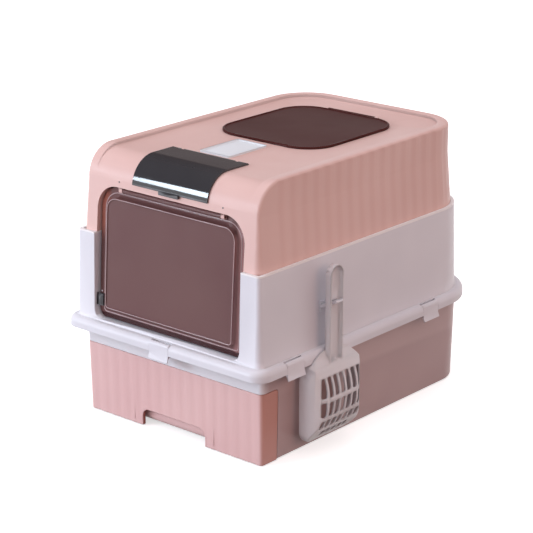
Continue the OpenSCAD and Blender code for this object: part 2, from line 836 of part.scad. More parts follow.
// Cutter for a run of flutes in a wall that leans up to the brow and stands above it
module flute_wall(count, pitch) {
  low = brow_z - seam_h - seat_gap;
  lap = 0.5;
  translate([0, 0, brow_z]) {
    translate([0, 0, -2 * lap]) linear_extrude(brow_r + over + 2 * lap)
      flute_comb(count, pitch, flute_d);
    intersection() {
      rotate([cover_lean, 0, 0]) translate([0, 0, -low - 10]) linear_extrude(low + 10 + over)
        flute_comb(count, pitch, flute_d);
      translate([-hl, -hl, -low]) cube([2 * hl, 2 * hl, low - lap]);
    }
  }
}

// A groove in the top panel that a hinge barrel lies in
module hinge_groove(y, z, r, l) {
  translate([0, y, z]) rotate([0, 90, 0])
    cylinder(r = r + groove_gap, h = l + 2 * groove_gap, center = true);
}

module top_cover() {
  color("#e3c3c1") {
    difference() {
      union() {
        cover_walls();
        door_lining(seam_h + seat_gap, brow_z, -cover_hl, brow_z, -cover_lean, cover_wall);
        door_stop(seam_h + seat_gap, hinge_z - stop_clear);
      }
      along_y(-hl, -cover_hl + lining_d + 8) door_hole(0);
      translate([-door_w / 2 - cover_wall, -hl, 0])
        cube([door_w + 2 * cover_wall, 4 * lining_d, seam_h + seat_gap]);
      linear_extrude(total_h) hatch_plan(hatch_lap);
      cup_rebate();
      cup_well();
      hinge_groove(hatch_hinge_y, hatch_hinge_z, hatch_barrel_r, hatch_barrel_l + 2 * lug_w + 4);
      hinge_groove(deo_hinge_y, deo_hinge_z, deo_barrel_r, deo_w);
    }
    for (s = [-1, 1]) {
      door_lug(s);
      hatch_lug(s);
      deo_lug(s);
    }
  }
}

// The door's plane: x across, y up from the hinge line, extruded forward
module in_door_plane(d0, d1) {
  translate([0, door_y, hinge_z]) rotate([90 - door_lean, 0, 0]) translate([0, 0, d0])
    linear_extrude(d1 - d0) children();
}

// Door outline in that plane, inset by g from the door's own edge
module door_face(g) {
  translate([0, -hinge_z]) door_hole(door_gap + g);
}

module door_lug(s) {
  lug_r = barrel_r;
  difference() {
    translate([s > 0 ? lug_x : -lug_x - lug_w, 0, 0]) {
      translate([0, hinge_y, hinge_z]) rotate([0, 90, 0]) cylinder(r = lug_r, h = lug_w);
      translate([0, hinge_y - lug_r, hinge_z])
        cube([lug_w, 2 * lug_r, arch_h - hinge_z + cover_wall / 2]);
    }
    translate([s * (lug_x + lug_w / 2), hinge_y, hinge_z]) rotate([0, 90, 0])
      cylinder(r = pin_r + pin_gap, h = lug_w + 2 * over, center = true);
  }
}

module front_door() {
  ridge = 1.2;
  color("#8a6c6e") {
    difference() {
      union() {
        in_door_plane(-door_mid, door_mid) difference() {
          door_face(0);
          door_face(door_border + door_t);
        }
        in_door_plane(-door_mid, door_mid + door_raise) difference() {
          door_face(door_border);
          door_face(door_border + door_t);
        }
        in_door_plane(door_mid + door_raise - door_t, door_mid + door_raise)
          door_face(door_border);
        in_door_plane(door_mid + door_raise - joint_over, door_mid + door_raise + ridge)
          difference() {
            door_face(door_border);
            door_face(door_border + 2.6);
          }
      }
      for (s = [-1, 1])
        translate([s * (lug_x + lug_w / 2), hinge_y, hinge_z])
          cube([lug_w + 1.2, 30, 2 * barrel_r + 2.4], center = true);
      latch_slot();
    }
    translate([0, hinge_y, hinge_z]) rotate([0, 90, 0])
      cylinder(r = barrel_r, h = barrel_l, center = true);
    translate([0, hinge_y, hinge_z]) rotate([0, 90, 0])
      cylinder(r = pin_r, h = barrel_l + 2 * (lug_w + 0.2), center = true);
  }
}

module latch_slot() {
  in_door_plane(-over - door_mid, door_mid + over)
    translate([neck_x - latch_travel - neck_gap, latch_y - neck_h / 2 - neck_gap])
      square([neck_w + latch_travel + 2 * neck_gap, neck_h + 2 * neck_gap]);
}

module door_latch() {
  color("#7c5f62") {
    in_door_plane(door_mid + seat_gap, door_mid + 5.2)
      translate([latch_x, latch_y - latch_h / 2]) square([latch_w, latch_h]);
    in_door_plane(door_mid + 5, door_mid + 8)
      translate([latch_x + 3, latch_y - latch_h / 2 + 2]) square([5, latch_h - 4]);
    in_door_plane(-door_mid - seat_gap, door_mid + 1)
      translate([neck_x, latch_y - neck_h / 2]) square([neck_w, neck_h]);
  }
}

module latch_plate() {
  plate_w = 5.2;
  plate_h = neck_h + 5;
  color("#6d5356") in_door_plane(-door_mid - seat_gap - latch_plate_t, -door_mid - seat_gap)
    translate([neck_x + 0.6, latch_y - plate_h / 2]) square([plate_w, plate_h]);
}

module latch_pocket() {
  in_door_plane(door_mid - 0.2, door_mid + 5.8)
    translate([latch_x - latch_travel - 1, latch_y - latch_h / 2 - 0.6])
      square([9, latch_h + 1.2]);
}

module hatch_plan(g) {
  plan(hatch_w / 2 - g, hatch_yf + g, hatch_yr - g, hatch_r - g, hatch_r - g);
}

module hatch_lug(s) {
  x0 = hatch_barrel_l / 2 + 0.6;
  difference() {
    translate([s > 0 ? x0 : -x0 - lug_w, hatch_hinge_y, 0]) {
      translate([0, 0, hatch_hinge_z]) rotate([0, 90, 0])
        cylinder(r = hatch_barrel_r, h = lug_w);
      translate([0, -hatch_barrel_r, panel_z - panel_t + joint_over])
        cube([lug_w, 2 * hatch_barrel_r, hatch_hinge_z - panel_z + panel_t - joint_over]);
    }
    translate([s * (x0 + lug_w / 2), hatch_hinge_y, hatch_hinge_z]) rotate([0, 90, 0])
      cylinder(r = hatch_pin_r + pin_gap, h = lug_w + 2 * over, center = true);
  }
}

module top_hatch() {
  skirt_low = hatch_z - 5;
  ring_t = 2;
  ring_g = hatch_lap + hatch_in;
  color("#5c474a") {
    difference() {
      translate([0, 0, hatch_z]) linear_extrude(hatch_t) hatch_plan(0);
      for (s = [-1, 1])
        translate([s * (hatch_barrel_l / 2 + 0.3 + lug_w / 2) - lug_w / 2 - 0.6,
          hatch_hinge_y - hatch_barrel_r - 0.6, panel_z])
          cube([lug_w + 1.2, hatch_barrel_r + 2, 2 * hatch_barrel_r]);
    }
    translate([0, 0, skirt_low]) linear_extrude(hatch_z - skirt_low + joint_over) difference() {
      hatch_plan(ring_g);
      hatch_plan(ring_g + ring_t);
    }
    translate([0, 0, hatch_z + hatch_t - joint_over]) linear_extrude(joint_over + 0.8)
      difference() {
        hatch_plan(0.8);
        hatch_plan(3.2);
      }
    translate([-hatch_barrel_l / 2, hatch_yr - 4, hatch_z])
      cube([hatch_barrel_l, hatch_hinge_y - hatch_yr + 4, hatch_t]);
    translate([0, hatch_hinge_y, hatch_hinge_z]) rotate([0, 90, 0]) {
      cylinder(r = hatch_barrel_r, h = hatch_barrel_l, center = true);
      cylinder(r = hatch_pin_r, h = hatch_barrel_l + 2 * (lug_w + 0.2), center = true);
    }
  }
}

// The body of the panel down to depth d, over the brow and behind it
module panel_body(d) {
  translate([hw, panel_y, brow_z]) rotate([0, -90, 0]) cylinder(r = panel_r - d, h = 2 * hw);
  translate([-hw, panel_y, 0]) cube([2 * hw, hl, panel_z - d]);
}

module cup_plan(g) {
  plan(cup_w / 2 - g, cup_yf + g, cup_yr - g, 6 - g, 6 - g);
}

module cup_well() {
  translate([0, 0, cup_floor_h - 1]) linear_extrude(total_h) cup_plan(0);
}

// A shallow step round the well that the cup's lip lies in
module cup_rebate() {
  difference() {
    translate([0, 0, brow_z]) linear_extrude(brow_r) cup_plan(-cup_lip);
    panel_body(cup_lip_t + seat_gap);
  }
}

module deodoriser_cup() {
  slot_half = floor((cup_w / 2 - cup_slot_in) / cup_slot_pitch);
  color("#3c3436") {
    difference() {
      intersection() {
        translate([0, 0, brow_z]) linear_extrude(brow_r) cup_plan(cup_gap - cup_lip);
        panel_body(0);
      }
      panel_body(cup_lip_t);
      translate([0, 0, brow_z - over]) linear_extrude(brow_r + 2 * over)
        cup_plan(cup_gap + cup_t);
    }
    difference() {
      intersection() {
        translate([0, 0, cup_floor_h]) linear_extrude(brow_r) cup_plan(cup_gap);
        panel_body(0);
      }
      translate([0, 0, cup_floor_h + cup_t]) linear_extrude(brow_r) cup_plan(cup_gap + cup_t);
      for (i = [-slot_half : slot_half])
        translate([i * cup_slot_pitch - cup_slot_w / 2, cup_yf + cup_slot_in, cup_floor_h - over])
          cube([cup_slot_w, cup_l - 2 * cup_slot_in, cup_t + 2 * over]);
    }
  }
}

module carbon_pad() {
  color("#2c2a2b")
    translate([0, 0, cup_floor_h + cup_t + seat_gap]) linear_extrude(pad_t)
      cup_plan(cup_gap + cup_t + pad_gap);
}

module deo_lug(s) {
  difference() {
    translate([s > 0 ? deo_lug_x : -deo_lug_x - deo_lug_w, deo_hinge_y, 0]) {
      translate([0, 0, deo_hinge_z]) rotate([0, 90, 0])
        cylinder(r = deo_barrel_r, h = deo_lug_w);
      translate([0, -deo_barrel_r, panel_z - panel_t + joint_over])
        cube([deo_lug_w, 2 * deo_barrel_r, deo_hinge_z - panel_z + panel_t - joint_over]);
    }
    translate([s * (deo_lug_x + deo_lug_w / 2), deo_hinge_y, deo_hinge_z]) rotate([0, 90, 0])
      cylinder(r = deo_pin_r + pin_gap, h = deo_lug_w + 2 * over, center = true);
  }
}

module deodoriser_lid() {
  lug_room = deo_lug_w + 0.8;
  color("#3b3234") {
    difference() {
      union() {
        translate([-deo_w / 2, panel_y, panel_z + seat_gap])
          cube([deo_w, deo_hinge_y - panel_y, deo_t]);
        intersection() {
          brow_turn(panel_y) translate([deo_r, -deo_w / 2]) square([deo_t, deo_w]);
          translate([-hw, -hl, deo_low]) cube([2 * hw, hl, brow_r]);
        }
        translate([0, deo_hinge_y, deo_hinge_z]) rotate([0, 90, 0])
          cylinder(r = deo_barrel_r, h = deo_w, center = true);
      }
      for (s = [-1, 1])
        translate([s * (deo_lug_x + deo_lug_w / 2) - lug_room / 2,
          deo_hinge_y - deo_barrel_r - 0.6, deo_hinge_z - deo_barrel_r - over])
          cube([lug_room, 2 * deo_barrel_r + 2, 2 * deo_barrel_r + 2 * over]);
    }
    translate([0, deo_hinge_y, deo_hinge_z]) rotate([0, 90, 0])
      cylinder(r = deo_pin_r, h = 2 * (deo_lug_x + deo_lug_w + over), center = true);
    translate([-deo_tab_w / 2, -cover_hl - 4.6, deo_low - 4])
      cube([deo_tab_w, 4.2, 4 + 1.5]);
  }
}

module bowl_face(g) {
  w = bowl_w / 2 - g;
  foot = bowl_foot_r - g;
  shoulder = shoulder_r - g;
  low = bowl_low + g;
  high = bowl_high - g;
  translate([-w, low + foot]) square([2 * w, high - shoulder - low - foot]);
  translate([foot - w, low]) square([2 * (w - foot), foot + over]);
  translate([shoulder - w, high - shoulder - over]) square([2 * (w - shoulder), shoulder + over]);
  for (s = [-1, 1]) {
    translate([s * (w - foot), low + foot]) circle(foot);
    translate([s * (w - shoulder), high - shoulder]) circle(shoulder);
  }
}

module handle_face(g) {
  w = handle_w / 2 - g;
  translate([-w, bowl_cz + bowl_foot_r]) square([2 * w, handle_top - g - w - bowl_cz - bowl_foot_r]);
  translate([0, handle_top - g - w]) circle(w);
}

// A prism along X at the scoop's place, from a face drawn in Y and Z
module scoop_prism(x0, x1) {
  translate([x0, -scoop_y, 0]) rotate([90, 0, 90]) linear_extrude(x1 - x0) children();
}

module bowl_round(r) {
  intersection() {
    translate([bowl_cx, 0, bowl_cz]) rotate([90, 0, 0]) cylinder(r = r, h = 2 * hl, center = true);
    translate([bowl_rim_x, -hl, 0]) cube([2 * bowl_d, 2 * hl, sheet_top + joint_over]);
  }
}

module bowl_plan(g) {
  x0 = bowl_rim_x - 30;
  x1 = bowl_cx + bowl_r - g;
  r = bowl_side_r - g;
  w = bowl_w / 2 - g;
  translate([0, -scoop_y, 0]) linear_extrude(bowl_high + over) {
    translate([x0, -w]) square([x1 - r - x0, 2 * w]);
    translate([x1 - r - over, r - w]) square([r + over, 2 * (w - r)]);
    for (s = [-1, 1]) translate([x1 - r, s * (w - r)]) circle(r);
  }
}

module scoop_bowl() {
  difference() {
    intersection() {
      bowl_round(bowl_r);
      scoop_prism(bowl_rim_x, bowl_rim_x + 2 * bowl_d) bowl_face(0);
      bowl_plan(0);
    }
    intersection() {
      translate([bowl_cx, 0, bowl_cz]) rotate([90, 0, 0])
        cylinder(r = bowl_r - scoop_t, h = 2 * hl, center = true);
      scoop_prism(bowl_rim_x - over, bowl_rim_x + 2 * bowl_d) union() {
        bowl_face(scoop_t);
        translate([-bowl_w / 2 + bowl_foot_r, 0])
          square([bowl_w - 2 * bowl_foot_r, bowl_low + scoop_t + over]);
      }
      bowl_plan(scoop_t);
    }
    flange_room();
    bowl_slots();
  }
}

// Keeps the bowl clear of the flange while the scoop lifts off
module flange_room() {
  corner_x = hw + flange_out + 0.8;
  room = 2 * bowl_d;
  translate([corner_x, -hl, curl_h - 0.6]) {
    rotate([0, -hang_slope, 0]) translate([-room, 0, 0]) cube([room, 2 * hl, room]);
    translate([-room, 0, 0]) cube([room, 2 * hl, room]);
  }
}

module bowl_slots() {
  rows = [[bowl_low + 9, 32.5], [39, 52], [58, 80], [86, 115]];
  for (r = rows, i = [0 : slot_n - 1])
    if (r[0] > 30 || abs(i - (slot_n - 1) / 2) < slot_n / 2 - 1)
      scoop_prism(bowl_rim_x - over, bowl_rim_x + bowl_d + over)
        slot_face((i - (slot_n - 1) / 2) * slot_pitch, r[0], r[1]);
}

module slot_face(y, z0, z1) {
  r = 3;
  w = slot_w / 2;
  translate([y - w, z0 + r]) square([2 * w, z1 - z0 - 2 * r]);
  translate([y - w + r, z0]) square([2 * (w - r), z1 - z0]);
  for (a = [-1, 1], b = [z0 + r, z1 - r]) translate([y + a * (w - r), b]) circle(r);
}

module litter_scoop() {
  color("#f1eef0") {
    difference() {
      union() {
        scoop_bowl();
        intersection() {
          scoop_prism(sheet_x, sheet_x + scoop_t) union() {
            bowl_face(0);
            handle_face(0);
          }
          translate([0, -hl, sheet_top - joint_over]) cube([2 * hw, 2 * hl, total_h]);
        }
        intersection() {
          scoop_prism(sheet_x, sheet_x + handle_d) difference() {
            handle_face(0);
            handle_face(scoop_t - 0.2);
          }
          handle_span();
        }
      }
      peg_way(peg_gap);
    }
  }
}

// The handle's flanges start on the bowl's back
module handle_span() {
  difference() {
    translate([0, -hl, sheet_top - 26]) cube([hw * 2, 2 * hl, total_h]);
    translate([bowl_cx, 0, bowl_cz]) rotate([90, 0, 0])
      cylinder(r = bowl_r - scoop_t / 2, h = 2 * hl, center = true);
  }
}

// The sloping peg that the scoop hangs on
module peg_way(g) {
  peg_base(-over, 2 * peg_l) square([hook_peg_t + 2 * g, hook_peg_w + 2 * g], center = true);
}

module peg_base(d0, d1) {
  translate([hw + shell_draft * (seam_h - peg_z) / (seam_h - flange_h), -scoop_y, peg_z])
    rotate([0, 90 - hang_slope, 0]) translate([0, 0, d0]) linear_extrude(d1 - d0) children();
}

module scoop_hook() {
  face_x = hw + shell_draft * (seam_h - peg_z) / (seam_h - flange_h);
  color("#e6e6ee") {
    difference() {
      union() {
        peg_base(-hook_peg_t, peg_l) square([hook_peg_t, hook_peg_w], center = true);
        translate([face_x - hook_peg_t / 2, -scoop_y - hook_peg_w / 2, peg_z - hook_plate_h / 2])
          cube([hook_peg_t, hook_peg_w, hook_plate_h]);
      }
      translate([face_x, -hl, peg_z]) rotate([0, -shell_lean, 0])
        translate([0.05 - hw, 0, -total_h]) cube([hw, 2 * hl, 2 * total_h]);
    }
  }
}

base_shell();
drawer_front();
drawer_pan();
middle_shell();
top_cover();
front_door();
door_latch();
latch_plate();
top_hatch();
deodoriser_lid();
deodoriser_cup();
carbon_pad();
clip(clip_places()[0]);  // front_clip
clip(clip_places()[1]);  // rear_clip
clip(clip_places()[2]);  // right_front_clip
clip(clip_places()[3]);  // right_rear_clip
clip(clip_places()[4]);  // left_front_clip
clip(clip_places()[5]);  // left_rear_clip
litter_scoop();
scoop_hook();
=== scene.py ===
import json
import math
import bpy
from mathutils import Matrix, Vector


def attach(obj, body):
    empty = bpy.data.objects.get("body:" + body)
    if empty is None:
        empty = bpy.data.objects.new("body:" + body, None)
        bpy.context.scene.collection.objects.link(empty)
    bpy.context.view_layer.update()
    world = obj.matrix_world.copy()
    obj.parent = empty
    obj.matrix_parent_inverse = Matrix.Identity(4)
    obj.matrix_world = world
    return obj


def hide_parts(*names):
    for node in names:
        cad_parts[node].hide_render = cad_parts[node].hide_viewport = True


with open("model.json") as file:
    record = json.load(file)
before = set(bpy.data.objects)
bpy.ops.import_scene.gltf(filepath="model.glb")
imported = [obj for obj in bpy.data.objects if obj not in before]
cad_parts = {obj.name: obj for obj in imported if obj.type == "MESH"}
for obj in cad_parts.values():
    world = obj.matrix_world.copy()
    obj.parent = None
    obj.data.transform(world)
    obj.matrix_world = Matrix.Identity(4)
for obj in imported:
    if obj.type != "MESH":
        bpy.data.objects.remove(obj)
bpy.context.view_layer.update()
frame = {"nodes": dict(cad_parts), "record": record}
bodyOf = {node: body for body, nodes in frame["record"]["behaviour"]["bodies"].items() for node in nodes}


def deselect():
    bpy.ops.object.select_all(action="DESELECT")


def activate(piece):
    deselect()
    bpy.context.view_layer.objects.active = piece
    piece.select_set(True)


def newObject(name, data):
    made = bpy.data.objects.new(name, data)
    bpy.context.scene.collection.objects.link(made)
    return made


# sRGB hex to linear RGBA
def linear(hexColour):
    parts = [int(hexColour[i:i + 2], 16) / 255 for i in (1, 3, 5)]
    return [c / 12.92 if c <= 0.04045 else ((c + 0.055) / 1.055) ** 2.4 for c in parts] + [1.0]


def addNode(tree, kind, values=None, links=None, **settings):
    node = tree.nodes.new(kind)
    for key, value in settings.items():
        setattr(node, key, value)
    for key, value in (values or {}).items():
        node.inputs[key].default_value = value
    for key, source in (links or {}).items():
        tree.links.new(source, node.inputs[key])
    return node


def newMaterial(name):
    material = bpy.data.materials.new(name)
    material.use_nodes = True
    material.node_tree.nodes.clear()
    return material, material.node_tree


def ramp(tree, source, stops):
    node = addNode(tree, "ShaderNodeValToRGB", links={"Fac": source})
    elements = node.color_ramp.elements
    while len(elements) < len(stops):
        elements.new(0.5)
    for element, (place, colour) in zip(elements, stops):
        element.position = place
        element.color = colour
    return node.outputs["Color"]


# the mix node's colour sockets share their names with its other kinds, so they go by number
def blendColours(tree, share, first, second):
    blend = addNode(tree, "ShaderNodeMix", {7: second}, {0: share, 6: first}, data_type="RGBA")
    return blend.outputs[2]


# 0 where the source is at start, rising to most where it is at full
def between(tree, source, start, full, most=1.0):
    return addNode(tree, "ShaderNodeMapRange", {"From Min": start, "From Max": full, "To Max": most},
                   {"Value": source}).outputs["Result"]


# a math node whose inputs are sockets or numbers
def combine(tree, kind, *sources):
    values = {i: source for i, source in enumerate(sources) if isinstance(source, (int, float))}
    links = {i: source for i, source in enumerate(sources) if i not in values}
    return addNode(tree, "ShaderNodeMath", values, links, operation=kind).outputs["Value"]


def axesOf(tree, place):
    return addNode(tree, "ShaderNodeSeparateXYZ", links={"Vector": place}).outputs


# the pan's rim behind the tub's wall, where the painted pan shade ends: its height at the middle, and its fall
# towards the rear for each metre. Here and in the other painted shades below, a pair gives where a shade starts and
# where it is full
panRim = {"height": 0.09, "fall": 0.0333, "above": (-0.004, 0.004), "front": (-0.222, -0.237)}


# painted shade for the pink pan seen through the wall: the wall keeps its darker colour below the pan's sloping rim,
# 98 mm high in front and 82 mm at the rear, is paler above it, and is painted whitest at the front collar, where
# nothing stands behind it, as painted light under the flange's shadow
def paintedPanShade(tree, place, below, look):
    axes = axesOf(tree, place)
    rimLine = combine(tree, "MULTIPLY_ADD", axes["Y"], panRim["fall"], -panRim["height"])
    over = combine(tree, "ADD", axes["Z"], rimLine)
    paler = blendColours(tree, between(tree, over, *panRim["above"]), below, linear(look["paintedAbovePan"]))
    atFront = between(tree, axes["Y"], *panRim["front"])
    return blendColours(tree, atFront, paler, linear(look["paintedLitCollar"]))


# bands of the door's border where light and shadow are painted, and how strong the painted pink glow on its upper
# left gets
doorBorder = {"left": (-0.117, -0.126), "upper": (0.262, 0.292), "upperMost": 0.85, "right": (0.117, 0.122),
              "gapShadowBottom": (0.1612, 0.1588), "gapShadowRight": (0.1305, 0.1325)}


# the door's border, with painted light: a pink glow on the left above the seam, where the cover's pink lining shows
# through, and a paler border on the right
def paintedBorderLight(tree, place, sheet, look):
    axes = axesOf(tree, place)
    left = between(tree, axes["X"], *doorBorder["left"])
    upper = between(tree, axes["Z"], *doorBorder["upper"], doorBorder["upperMost"])
    warmer = blendColours(tree, combine(tree, "MULTIPLY", left, upper), sheet, linear(look["paintedPinkGlow"]))
    right = between(tree, axes["X"], *doorBorder["right"])
    paler = blendColours(tree, right, warmer, linear(look["paintedRightLight"]))
    # a painted shadow on the cut edge along the bottom and the right, which lies in the gap's shadow
    cut = combine(tree, "MAXIMUM", between(tree, axes["Z"], *doorBorder["gapShadowBottom"]),
                  between(tree, axes["X"], *doorBorder["gapShadowRight"]))
    return blendColours(tree, cut, paler, linear(look["paintedGapShadow"]))


# the flutes' spacing, the middle of their run and half its length, and where the cover's sides begin
flutes = {"pitch": 0.0245, "middle": -0.02075, "half": 0.18375, "wall": (0.153, 0.157), "deepest": 0.1}


# painted shade in the valleys of the cover's side flutes, which are a little deeper in colour
def paintedFluteShade(tree, place, wall, look):
    turn = 2 * math.pi / flutes["pitch"]
    axes = axesOf(tree, place)
    phase = (flutes["half"] - flutes["middle"]) * turn
    wave = combine(tree, "COSINE", combine(tree, "MULTIPLY_ADD", axes["Y"], turn, phase))
    along = combine(tree, "ABSOLUTE", combine(tree, "SUBTRACT", axes["Y"], flutes["middle"]))
    inRun = combine(tree, "LESS_THAN", along, flutes["half"])
    side = between(tree, combine(tree, "ABSOLUTE", axes["X"]), *flutes["wall"])
    share = combine(tree, "MULTIPLY", between(tree, wave, 1.0, -1.0, flutes["deepest"]),
                    combine(tree, "MULTIPLY", inRun, side))
    return blendColours(tree, share, wall, linear(look["paintedValleyShade"]))


# returnDepth counts inwards from the drawer front's outermost face; the rest bound the finger notch
drawerBands = {"returnDepth": (0.005, 0.001), "notchSide": (0.07, 0.066), "notchTop": (0.036, 0.034),
               "notchFront": (-0.2354, -0.2349), "notchRear": (-0.2283, -0.2285)}


# painted shade: the drawer front's returns, outside its corners, are painted a deeper pink, and so is the inside of
# its finger notch
def paintedDrawerShade(tree, place, front, look):
    reach = max(corner[0] for corner in frame["nodes"]["drawer_front"].bound_box)
    axes = axesOf(tree, place)
    away = combine(tree, "ABSOLUTE", axes["X"])
    paintedReturnShade = between(tree, away, *(reach - depth for depth in drawerBands["returnDepth"]))
    deeper = blendColours(tree, paintedReturnShade, front, linear(look["paintedReturnShade"]))
    within = combine(tree, "MULTIPLY", between(tree, away, *drawerBands["notchSide"]),
                     between(tree, axes["Z"], *drawerBands["notchTop"]))
    depth = combine(tree, "MULTIPLY", between(tree, axes["Y"], *drawerBands["notchFront"]),
                    between(tree, axes["Y"], *drawerBands["notchRear"]))
    return blendColours(tree, combine(tree, "MULTIPLY", within, depth), deeper, linear(look["notch"]))


shellEdge = {"height": (0.2752, 0.2766)}


# a painted highlight on the shell's top edge, a thin bright line along the cover's seam
def paintedLedgeHighlight(tree, place, wall, look):
    atEdge = between(tree, axesOf(tree, place)["Z"], *shellEdge["height"])
    return blendColours(tree, atEdge, wall, linear(look["ledge"]))


# each painted light or shade is laid on where a look names its colour
shades = {"paintedAbovePan": paintedPanShade, "paintedPinkGlow": paintedBorderLight, "paintedReturnShade": paintedDrawerShade, "paintedValleyShade": paintedFluteShade,
          "ledge": paintedLedgeHighlight}

# what every look starts from: lengths ending in Mm are millimetres, the others metres, and span is the useful part
# of a noise
plastic = {"driftMm": 140, "wipeMm": 35, "wipeStretch": 9.0, "wipe": 0.05, "grain": 0.12, "grainDepth": 0.0001,
           "edgeMm": 0.6, "span": (0.3, 0.7), "specular": 0.45, "ior": 1.49, "scatter": 0.0,
           "scatterReach": (0.004, 0.003, 0.003), "mattStep": 0.001, "mattRough": 0.35}


# one unit is a metre, so a scale of 1000 / n gives a pattern n millimetres across
def patternScale(millimetres):
    return 1000 / millimetres


# injection-moulded plastic: slow colour drift, a fine spark-eroded grain and faint level wipe marks; the felt and
# the label's film are made of the same patterns at other sizes
def moulded(name, ownLook):
    look = {**plastic, **ownLook}
    spanLow, spanHigh = look["span"]
    material, tree = newMaterial(name)
    place = addNode(tree, "ShaderNodeTexCoord").outputs["Object"]
    drift = addNode(tree, "ShaderNodeTexNoise", {"Scale": patternScale(look["driftMm"]), "Detail": 2.0},
                    {"Vector": place})
    grain = addNode(tree, "ShaderNodeTexNoise",
                    {"Scale": patternScale(look["grainMm"]), "Detail": 3.0, "Roughness": 0.6}, {"Vector": place})
    colour = ramp(tree, drift.outputs["Fac"], [(spanLow, linear(look["dark"])), (spanHigh, linear(look["light"]))])
    # lays on the painted light and shade that the look names
    for key, shade in shades.items():
        if key in look:
            colour = shade(tree, place, colour, look)
    stretch = addNode(tree, "ShaderNodeMapping", {"Scale": (1.0, 1.0, look["wipeStretch"])}, {"Vector": place})
    wipe = addNode(tree, "ShaderNodeTexNoise", {"Scale": patternScale(look["wipeMm"]), "Detail": 4.0},
                   {"Vector": stretch.outputs["Vector"]})
    rough = addNode(tree, "ShaderNodeMapRange",
                    {"From Min": spanLow, "From Max": spanHigh, "To Min": look["rough"] - look["wipe"],
                     "To Max": look["rough"] + look["wipe"]},
                    {"Value": wipe.outputs["Fac"]})
    roughness = rough.outputs["Result"]
    if "mattBelow" in look:
        height = axesOf(tree, place)["Z"]
        matter = between(tree, height, look["mattBelow"], look["mattBelow"] - look["mattStep"], look["mattRough"])
        roughness = combine(tree, "ADD", roughness, matter)
    edge = addNode(tree, "ShaderNodeBevel", {"Radius": look["edgeMm"] / 1000}, samples=4)
    bump = addNode(tree, "ShaderNodeBump", {"Strength": look["grain"], "Distance": look["grainDepth"]},
                   {"Height": grain.outputs["Fac"], "Normal": edge.outputs["Normal"]})
    shader = addNode(tree, "ShaderNodeBsdfPrincipled",
                     {"Subsurface Weight": look["scatter"], "Subsurface Radius": look["scatterReach"],
                      "IOR": look["ior"], "Specular IOR Level": look["specular"]},
                     {"Base Color": colour, "Roughness": roughness, "Normal": bump.outputs["Normal"]})
    surface = shader.outputs["BSDF"]
    if "through" in look:
        clear = addNode(tree, "ShaderNodeBsdfTransparent", {"Color": linear(look["tint"])})
        surface = addNode(tree, "ShaderNodeMixShader", {"Fac": look["through"]},
                          {1: surface, 2: clear.outputs["BSDF"]}).outputs["Shader"]
    addNode(tree, "ShaderNodeOutputMaterial", links={"Surface": surface})
    return material


